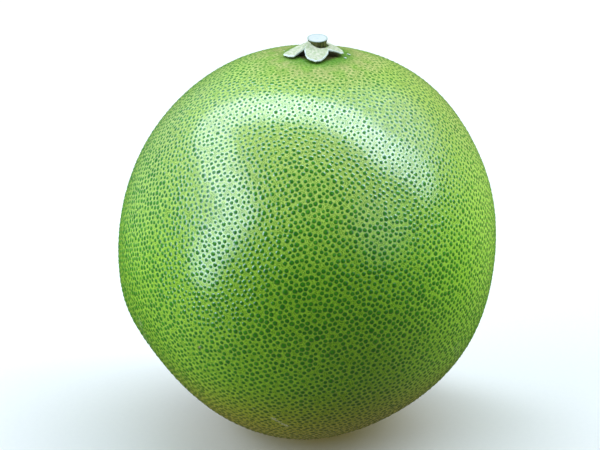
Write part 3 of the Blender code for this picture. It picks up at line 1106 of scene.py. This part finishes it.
def place_camera(settings):
    lens = bpy.data.cameras.new("front_camera")
    lens.sensor_width = SENSOR
    lens.lens = SENSOR * settings.eye_distance / settings.view_width
    lens.shift_x = LEFT_SHIFT
    lens.shift_y = UP_SHIFT
    lens.clip_start = 0.01
    camera = bpy.data.objects.new("front_camera", lens)
    eye_way = way_to(-90, math.degrees(settings.eye_height))
    camera.location = FRUIT_MIDDLE + eye_way * settings.eye_distance
    camera.rotation_euler = (math.pi / 2 - settings.eye_height, 0, 0)
    bpy.context.scene.collection.objects.link(camera)
    bpy.context.scene.camera = camera


# ---------------------------------------------------------------- operators


class POMELO_OT_rind(bpy.types.Operator):
    """Cover the fruit with its gland-covered rind"""
    bl_idname = "pomelo.rind"
    bl_label = "Make Rind"

    def execute(self, context):
        settings = context.scene.pomelo_rind
        rind = rind_object(settings)
        rind.data.materials.append(rind_finish(settings))
        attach(rind, "root")
        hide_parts("fruit")
        return {"FINISHED"}


class POMELO_OT_calyx(bpy.types.Operator):
    """Set the dry four-lobed calyx on the crown"""
    bl_idname = "pomelo.calyx"
    bl_label = "Make Calyx"

    def execute(self, context):
        settings = context.scene.pomelo_calyx
        calyx = calyx_object()
        calyx.data.materials.append(calyx_finish(settings))
        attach(calyx, "root")
        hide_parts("calyx")
        return {"FINISHED"}


class POMELO_OT_stem(bpy.types.Operator):
    """Stand the cut end of the stem in the calyx"""
    bl_idname = "pomelo.stem"
    bl_label = "Make Stem"

    def execute(self, context):
        settings = context.scene.pomelo_stem
        stem = stem_object(settings)
        stem.data.materials.append(stem_finish(settings))
        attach(stem, "root")
        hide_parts("stem_stub")
        return {"FINISHED"}


class POMELO_OT_flecks(bpy.types.Operator):
    """Lay a few dry flecks on the crown beside the calyx"""
    bl_idname = "pomelo.flecks"
    bl_label = "Lay Flecks"

    def execute(self, context):
        flecks = flecks_object()
        flecks.data.materials.append(fleck_finish())
        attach(flecks, "root")
        return {"FINISHED"}


class POMELO_OT_stage(bpy.types.Operator):
    """Lay the floor, light the room and set up the camera"""
    bl_idname = "pomelo.stage"
    bl_label = "Set Stage"

    def execute(self, context):
        settings = context.scene.pomelo_stage
        lay_floor(settings)
        light_room()
        place_camera(settings)
        context.scene.view_settings.view_transform = "Standard"
        return {"FINISHED"}


class POMELO_PT_panel(bpy.types.Panel):
    bl_idname = "POMELO_PT_panel"
    bl_label = "Pomelo"
    bl_space_type = "VIEW_3D"
    bl_region_type = "UI"
    bl_category = "Pomelo"

    def draw(self, context):
        scene = context.scene
        for settings, operator in ((scene.pomelo_rind, POMELO_OT_rind),
                                   (scene.pomelo_calyx, POMELO_OT_calyx),
                                   (scene.pomelo_stem, POMELO_OT_stem),
                                   (None, POMELO_OT_flecks),
                                   (scene.pomelo_stage, POMELO_OT_stage)):
            box = self.layout.box()
            for name in settings.__annotations__ if settings else ():
                box.prop(settings, name)
            box.operator(operator.bl_idname)


SETTINGS = {"pomelo_rind": RindSettings, "pomelo_calyx": CalyxSettings,
            "pomelo_stem": StemSettings, "pomelo_stage": StageSettings}
CLASSES = (*SETTINGS.values(), POMELO_OT_rind, POMELO_OT_calyx, POMELO_OT_stem,
           POMELO_OT_flecks, POMELO_OT_stage, POMELO_PT_panel)


def register():
    for each in CLASSES:
        bpy.utils.register_class(each)
    for name, group in SETTINGS.items():
        setattr(bpy.types.Scene, name, PointerProperty(type=group))


def unregister():
    for name in SETTINGS:
        delattr(bpy.types.Scene, name)
    for each in reversed(CLASSES):
        bpy.utils.unregister_class(each)


def main():
    register()
    bpy.ops.pomelo.stage()
    bpy.ops.pomelo.rind()
    bpy.ops.pomelo.calyx()
    bpy.ops.pomelo.stem()
    bpy.ops.pomelo.flecks()


if __name__ == "__main__":
    main()
